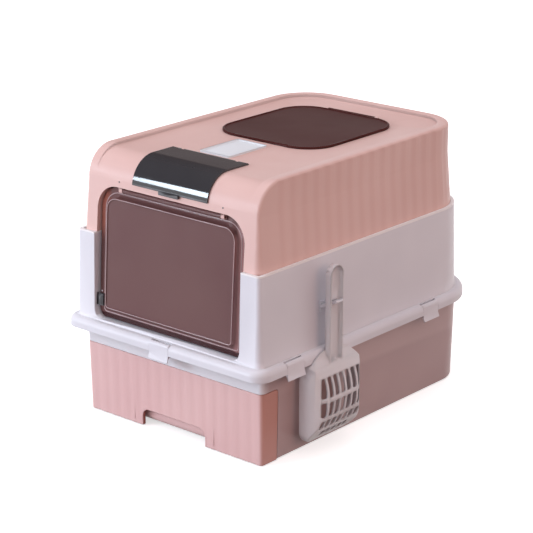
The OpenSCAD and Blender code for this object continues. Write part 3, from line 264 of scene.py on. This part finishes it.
looks = {
    # moulded polypropylene of the drawer: pale pink and satin, with softly rounded edges, and painted shade on its
    # returns and in its notch
    "pinkDrawerPp": {"dark": "#e2bab8", "light": "#e8c2bf", "grainMm": 0.9, "rough": 0.46, "scatter": 0.04,
                     "edgeMm": 2.2, "specular": 0.25, "paintedReturnShade": "#c99489", "notch": "#b06a62"},
    # moulded polypropylene of the cover: a slightly warmer pink with a little more sheen, and painted shade in its
    # side flutes' valleys
    "pinkCoverPp": {"dark": "#ddb8b1", "light": "#e3c0b9", "grainMm": 0.9, "rough": 0.42, "scatter": 0.04,
                    "specular": 0.5, "paintedValleyShade": "#b87a70"},
    # moulded polypropylene of the middle shell: a cool satin white, with a painted highlight along its top edge
    "whitePp": {"dark": "#dcdbe2", "light": "#e4e3e9", "grainMm": 0.9, "rough": 0.38, "scatter": 0.05,
                "ledge": "#f6f3f4"},
    # moulded milky polypropylene of the tub: translucent and satin, so that the pan shows through, with painted pan
    # shade and a painted lit collar
    "milkyPp": {"dark": "#bfa4a5", "light": "#c7adad", "grainMm": 1.2, "rough": 0.34, "scatter": 0.08,
                "through": 0.12, "tint": "#e8cfcc", "paintedAbovePan": "#cdb4b4", "paintedLitCollar": "#f2f1f6"},
    # smoked translucent polypropylene of the door, moulded in a polished tool: smooth, with what is behind it
    # dimmed, and with painted light and a painted shadow on its border
    "smokedSheet": {"dark": "#7b5656", "light": "#825f5d", "grainMm": 1.6, "rough": 0.22, "grain": 0.02,
                    "wipe": 0.015, "through": 0.3, "tint": "#ad8f8e", "specular": 0.3, "paintedPinkGlow": "#b26e5e",
                    "paintedRightLight": "#b58584", "paintedGapShadow": "#4a2a2c"},
    # thick moulded lines of the same sheet, painted paler than it as a painted highlight where they gather light
    "paintedLitSheetLine": {"dark": "#a98d8e", "light": "#b59a9b", "grainMm": 1.6, "rough": 0.14, "grain": 0.02,
                  "wipe": 0.01, "specular": 0.6},
    # the hatch's smoked polypropylene, a little darker and less glossy
    "smokedHatch": {"dark": "#572c2a", "light": "#5f3432", "grainMm": 1.6, "rough": 0.3, "grain": 0.02,
                    "wipe": 0.015, "through": 0.3, "tint": "#a58885", "specular": 0.1},
    # nearly black smoked plastic of the deodoriser and the latch: polished on the lid, and matt from its finger tab
    # downwards
    "smokedBlack": {"dark": "#37373a", "light": "#3f3f42", "grainMm": 2.0, "rough": 0.09, "grain": 0.02,
                    "wipe": 0.01, "specular": 0.8, "mattBelow": 0.3612},
    # moulded white acetal of the clips and the peg: dense and satin
    "whiteAcetal": {"dark": "#dddce3", "light": "#e6e5ec", "grainMm": 0.7, "rough": 0.35},
    # white, slightly translucent polypropylene of the scoop, with well-rounded edges
    "scoopPp": {"dark": "#e2e1e5", "light": "#eae9ed", "grainMm": 1.0, "rough": 0.36, "scatter": 0.15,
                "edgeMm": 4.0, "through": 0.1, "tint": "#f2e9ea"},
    # needled activated-carbon felt: black, dull and coarse
    "carbonFelt": {"dark": "#1a1819", "light": "#262324", "grainMm": 2.2, "rough": 0.9, "grain": 0.9,
                   "specular": 0.1},
    # bare white paper label with a satin film
    "labelFilm": {"dark": "#e2e6eb", "light": "#e8ecf1", "grainMm": 0.6, "rough": 0.45, "grain": 0.05},
}
materials = {name: moulded(name, look) for name, look in looks.items()}
print("stage: materials", len(materials))

skinMaking = {"merge": 0.00001, "smoothAngle": 32}


# a merged, evenly shaded copy of a CAD node
def skin(node, materialName, slotName, angle=skinMaking["smoothAngle"]):
    source = frame["nodes"][node]
    words = node.split("_")
    name = words[0] + "".join(word.capitalize() for word in words[1:]) + "Skin"
    piece = newObject(name, source.data.copy())
    piece.data.materials.clear()
    piece.data.materials.append(materials[materialName])
    activate(piece)
    bpy.ops.object.mode_set(mode="EDIT")
    bpy.ops.mesh.select_all(action="SELECT")
    bpy.ops.mesh.remove_doubles(threshold=skinMaking["merge"])
    bpy.ops.object.mode_set(mode="OBJECT")
    bpy.ops.object.shade_smooth_by_angle(angle=math.radians(angle))
    even = piece.modifiers.new("evenShading", "WEIGHTED_NORMAL")
    even.mode = "FACE_AREA_WITH_ANGLE"
    even.keep_sharp = True
    bpy.ops.object.modifier_apply(modifier="evenShading")
    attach(piece, bodyOf[node])
    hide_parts(node)


# each node's material and slot; a third value is a smaller smoothing angle, which keeps the drawer's flutes crisp
skins = {
    "base_shell": ("milkyPp", "milky_tub"),
    "drawer_front": ("pinkDrawerPp", "pink_drawer", 2),
    "drawer_pan": ("pinkDrawerPp", "pink_drawer"),
    "middle_shell": ("whitePp", "white_shell"),
    "top_cover": ("pinkCoverPp", "pink_cover"),
    "front_door": ("smokedSheet", "smoked_clear"),
    "door_latch": ("smokedBlack", "smoked_black"),
    "latch_plate": ("smokedBlack", "smoked_black"),
    "top_hatch": ("smokedHatch", "smoked_clear"),
    "deodoriser_lid": ("smokedBlack", "smoked_black"),
    "deodoriser_cup": ("smokedBlack", "smoked_black"),
    "carbon_pad": ("carbonFelt", "carbon_felt"),
    "front_clip": ("whiteAcetal", "white_clip"),
    "rear_clip": ("whiteAcetal", "white_clip"),
    "right_front_clip": ("whiteAcetal", "white_clip"),
    "right_rear_clip": ("whiteAcetal", "white_clip"),
    "left_front_clip": ("whiteAcetal", "white_clip"),
    "left_rear_clip": ("whiteAcetal", "white_clip"),
    "litter_scoop": ("scoopPp", "scoop_white"),
    "scoop_hook": ("whiteAcetal", "white_shell"),
}
for node, how in skins.items():
    skin(node, *how)
print("stage: skins", len(skins))


def roundedPlate(name, plate, materialName, body):
    deselect()
    bpy.ops.mesh.primitive_cube_add(size=1, location=(0, 0, 0))
    piece = bpy.context.object
    piece.name = name
    x0, x1, y0, y1, z0, z1 = plate["box"]
    piece.scale = (x1 - x0, y1 - y0, z1 - z0)
    piece.location = ((x0 + x1) / 2, (y0 + y1) / 2, (z0 + z1) / 2)
    bpy.ops.object.transform_apply(location=True, rotation=True, scale=True)
    bpy.ops.object.mode_set(mode="EDIT")
    bpy.ops.mesh.select_all(action="DESELECT")
    bpy.ops.object.mode_set(mode="OBJECT")
    # the four upright edges
    for edge in piece.data.edges:
        a, b = (piece.data.vertices[i].co for i in edge.vertices)
        edge.select = abs(a.z - b.z) > (z1 - z0) / 2
    bpy.ops.object.mode_set(mode="EDIT")
    bpy.ops.mesh.bevel(offset=plate["corner"], segments=plate["cornerSteps"], affect="EDGES")
    bpy.ops.object.mode_set(mode="OBJECT")
    edgeRound = piece.modifiers.new("edgeRound", "BEVEL")
    edgeRound.width = plate["edge"]
    edgeRound.segments = plate["edgeSteps"]
    edgeRound.limit_method = "ANGLE"
    edgeRound.angle_limit = math.radians(plate["edgeAngle"])
    bpy.ops.object.modifier_apply(modifier="edgeRound")
    bpy.ops.object.shade_smooth_by_angle(angle=math.radians(plate["smoothAngle"]))
    piece.data.materials.append(materials[materialName])
    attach(piece, body)


# bare label on the top's panel: its limits along x, y and z, and how its corners and edges are rounded
panelTop = 0.3945
label = {"box": (-0.028, 0.028, -0.1455, -0.0645, panelTop + 0.00005, panelTop + 0.0009), "corner": 0.003,
         "cornerSteps": 8, "edge": 0.0002, "edgeSteps": 2, "edgeAngle": 50, "smoothAngle": 35}
roundedPlate("blankLabel", label, "labelFilm", "cover")
print("stage: label")

# the outer face of the leaning door: a point of it, level with the hinge, its lean, and its outline from that point,
# with the top and lower corners' radii
door = {"y": -0.2291, "z": 0.344, "lean": math.radians(3.4), "halfWidth": 0.1362, "bottom": -0.1912, "top": 0.0032,
        "lowRadius": 0.0122, "topRadius": 0.0342}


# a point across the door, up along its lean, and out from its face
def onDoor(across, along, out):
    lean = door["lean"]
    return Vector((across, door["y"] + along * math.sin(lean) - out * math.cos(lean),
                   door["z"] + along * math.cos(lean) + out * math.sin(lean)))


# a closed outline with two lower and two upper corner radii
def outline(halfWidth, bottom, top, lowRadius, topRadius, steps):
    corners = [(halfWidth - topRadius, top - topRadius, topRadius, 0),
               (topRadius - halfWidth, top - topRadius, topRadius, 90),
               (lowRadius - halfWidth, bottom + lowRadius, lowRadius, 180),
               (halfWidth - lowRadius, bottom + lowRadius, lowRadius, 270)]
    points = []
    for x, y, radius, start in corners:
        for i in range(steps + 1):
            angle = math.radians(start + 90 * i / steps)
            points.append((x + radius * math.cos(angle), y + radius * math.sin(angle)))
    return points


beadMaking = {"leastRadius": 0.005, "cornerSteps": 10, "roundSteps": 2}


def doorBead(name, bead):
    inset = bead["inset"]
    path = outline(door["halfWidth"] - inset, door["bottom"] + inset, door["top"] - inset,
                   max(door["lowRadius"] - inset, beadMaking["leastRadius"]), door["topRadius"] - inset,
                   beadMaking["cornerSteps"])
    data = bpy.data.curves.new(name, "CURVE")
    data.dimensions = "3D"
    data.bevel_depth = bead["radius"]
    data.bevel_resolution = beadMaking["roundSteps"]
    spline = data.splines.new("POLY")
    spline.points.add(len(path) - 1)
    for point, (across, along) in zip(spline.points, path):
        point.co = (*onDoor(across, along, bead["out"]), 1.0)
    spline.use_cyclic_u = True
    piece = newObject(name, data)
    activate(piece)
    bpy.ops.object.convert(target="MESH")
    bpy.ops.object.shade_smooth()
    # the beads take the paler copy of the door's sheet, a painted highlight
    piece.data.materials.append(materials["paintedLitSheetLine"])
    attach(piece, "door")


doorBeads = {
    # moulded lines inside and outside the raised edge of the door's middle panel
    "doorInnerBead": {"inset": 0.0163, "radius": 0.0008, "out": 0.0077},
    "doorOuterBead": {"inset": 0.0085, "radius": 0.0009, "out": 0.0011},
}
for name, bead in doorBeads.items():
    doorBead(name, bead)
print("stage: door beads")

markMaking = {"vertices": 20, "smoothAngle": 35}


# a thin disc that faces the front, leaning back by its lean
def smallDisc(name, disc, place, materialName, body):
    deselect()
    bpy.ops.mesh.primitive_cylinder_add(radius=disc["radius"], depth=disc["depth"], location=place,
                                        vertices=markMaking["vertices"],
                                        rotation=(math.pi / 2 - disc["lean"], 0, 0))
    piece = bpy.context.object
    piece.name = name
    bpy.ops.object.transform_apply(location=True, rotation=True, scale=True)
    bpy.ops.object.shade_smooth_by_angle(angle=math.radians(markMaking["smoothAngle"]))
    piece.data.materials.append(materials[materialName])
    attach(piece, body)


# two small dark discs in the cover above the ends of the door's hinge
hingeDisc = {"radius": 0.0012, "depth": 0.0006, "lean": 0, "across": 0.097, "y": -0.2358, "z": 0.3572}
for side, sign in (("Left", -1), ("Right", 1)):
    smallDisc("hingeDarkDisc" + side, hingeDisc, (sign * hingeDisc["across"], hingeDisc["y"], hingeDisc["z"]),
              "smokedBlack", "cover")
# a pale disc above the latch, a painted highlight
dot = {"radius": 0.0013, "depth": 0.0006, "lean": door["lean"], "across": -0.1332, "along": -0.1545, "out": 0.0011}
smallDisc("latchDot", dot, onDoor(dot["across"], dot["along"], dot["out"]), "whiteAcetal", "door")
print("stage: small marks")


def lightSheet(name, light):
    data = bpy.data.lights.new(name, "AREA")
    data.shape = "RECTANGLE"
    data.size, data.size_y = light["size"]
    data.energy = light["power"]
    data.color = linear(light["colour"])[:3]
    lamp = newObject(name, data)
    lamp.location = light["place"]
    lamp.rotation_mode = "QUATERNION"
    lamp.rotation_quaternion = (Vector(light["aim"]) - lamp.location).to_track_quat("-Z", "Y")
    for rays in light.get("unseenBy", ()):
        setattr(lamp, rays, False)


lights = {
    # broad cool sheet that lights the front, kept out of reflections so that it doesn't glare from behind
    "frontSheet": {"place": (-1.8, -2.4, 1.12), "aim": (0, 0, 0.2), "size": (1.3, 0.5), "power": 43,
                   "colour": "#e2f1ff", "unseenBy": ("visible_glossy",)},
    # narrow sheet just before it, seen in reflections alone: the bright strip on the deodoriser lid
    "stripSheet": {"place": (-1.75, -2.333, 1.094), "aim": (0, 0, 0.2), "size": (0.56, 0.5), "power": 18,
                   "colour": "#e2f1ff", "unseenBy": ("visible_diffuse",)},
    # low sheet that fills the collar under the flange
    "lowSheet": {"place": (-0.9, -2.8, 0.32), "aim": (0, 0, 0.12), "size": (1.6, 0.5), "power": 20,
                 "colour": "#f2f4ff"},
    # weak cool sheet overhead
    "topSheet": {"place": (-0.3, 0.4, 2.6), "aim": (0, 0, 0.2), "size": (2.0, 2.0), "power": 13,
                 "colour": "#eef6ff"},
    # softer warm sheet on the side
    "sideSheet": {"place": (2.6, -0.2, 1.0), "aim": (0, 0, 0.2), "size": (1.6, 1.6), "power": 9,
                  "colour": "#ffb389"},
}
for name, light in lights.items():
    lightSheet(name, light)

# the room's even light, and what glossy rays see of the room by the sine of their height: the white background
# up to about 9 degrees, and a dim ceiling that is darkest from 18 degrees
room = {"background": "#ffffff", "glow": "#fff5f7", "glowStrength": 0.74,
        "mirrored": {0.16: "#ffffff", 0.24: "#8c7e7c", 0.28: "#7c6c69", 0.31: "#4b3834"}}
world = bpy.data.worlds.new("paleStudio")
bpy.context.scene.world = world
world.use_nodes = True
tree = world.node_tree
tree.nodes.clear()
rays = addNode(tree, "ShaderNodeLightPath").outputs
seen = addNode(tree, "ShaderNodeBackground", {"Color": linear(room["background"]), "Strength": 1.0})
glow = addNode(tree, "ShaderNodeBackground", {"Color": linear(room["glow"]), "Strength": room["glowStrength"]})
through = combine(tree, "MAXIMUM", rays["Is Camera Ray"], rays["Is Transmission Ray"])
height = axesOf(tree, addNode(tree, "ShaderNodeTexCoord").outputs["Generated"])["Z"]
ceiling = ramp(tree, height, [(place, linear(colour)) for place, colour in room["mirrored"].items()])
mirrored = addNode(tree, "ShaderNodeBackground", {"Strength": 1.0}, {"Color": ceiling})
pick = addNode(tree, "ShaderNodeMixShader",
               links={"Fac": through, 1: glow.outputs["Background"], 2: seen.outputs["Background"]})
pick = addNode(tree, "ShaderNodeMixShader",
               links={"Fac": rays["Is Glossy Ray"], 1: pick.outputs["Shader"], 2: mirrored.outputs["Background"]})
addNode(tree, "ShaderNodeOutputWorld", links={"Surface": pick.outputs["Shader"]})

# matt pale floor, bright enough where it is seen that it runs into the white background; bounce is the colour of
# the light that it throws back on the object, and drop keeps it clear of the tub's foot
floorLook = {"size": 14, "drop": 0.0004, "paint": "#eaeaea", "bounce": "#593f3c", "glow": "#ffffff",
             "glowStrength": 0.62, "rough": 0.8, "specular": 0.1}
deselect()
bpy.ops.mesh.primitive_plane_add(size=floorLook["size"], location=(0, 0, -floorLook["drop"]))
floor = bpy.context.object
floor.name = "paleFloor"
floorMaterial, tree = newMaterial("paleFloorPaint")
rays = addNode(tree, "ShaderNodeLightPath").outputs
shown = combine(tree, "MAXIMUM", rays["Is Camera Ray"], rays["Is Glossy Ray"])
level = combine(tree, "MULTIPLY", shown, floorLook["glowStrength"])
paint = addNode(tree, "ShaderNodeMix", {6: linear(floorLook["bounce"]), 7: linear(floorLook["paint"])}, {0: shown},
                data_type="RGBA")
shader = addNode(tree, "ShaderNodeBsdfPrincipled",
                 {"Roughness": floorLook["rough"], "Specular IOR Level": floorLook["specular"],
                  "Emission Color": linear(floorLook["glow"])},
                 {"Base Color": paint.outputs[2], "Emission Strength": level})
addNode(tree, "ShaderNodeOutputMaterial", links={"Surface": shader.outputs["BSDF"]})
floor.data.materials.append(floorMaterial)

# camera on the front right, a little above; the target is shifted across the view to frame the object
view = {"azimuth": 40.65, "elevation": 18.37, "target": (0, -0.0025, 0.2), "shiftRight": -0.02035,
        "shiftUp": -0.00457, "distance": 2.9111, "lens": 133.36, "sensor": 36, "clip": (0.1, 40)}
azimuth, elevation = math.radians(view["azimuth"]), math.radians(view["elevation"])
back = Vector((math.sin(azimuth) * math.cos(elevation), -math.cos(azimuth) * math.cos(elevation),
               math.sin(elevation)))
right = Vector((math.cos(azimuth), math.sin(azimuth), 0))
up = back.cross(right)
target = Vector(view["target"]) + right * view["shiftRight"] + up * view["shiftUp"]
cameraData = bpy.data.cameras.new("studioCamera")
cameraData.lens = view["lens"]
cameraData.sensor_width = view["sensor"]
cameraData.clip_start, cameraData.clip_end = view["clip"]
camera = newObject("studioCamera", cameraData)
camera.location = target + back * view["distance"]
camera.rotation_mode = "QUATERNION"
camera.rotation_quaternion = (-back).to_track_quat("-Z", "Y")
bpy.context.scene.camera = camera
bpy.context.scene.view_settings.view_transform = "Standard"
print("stage: studio")
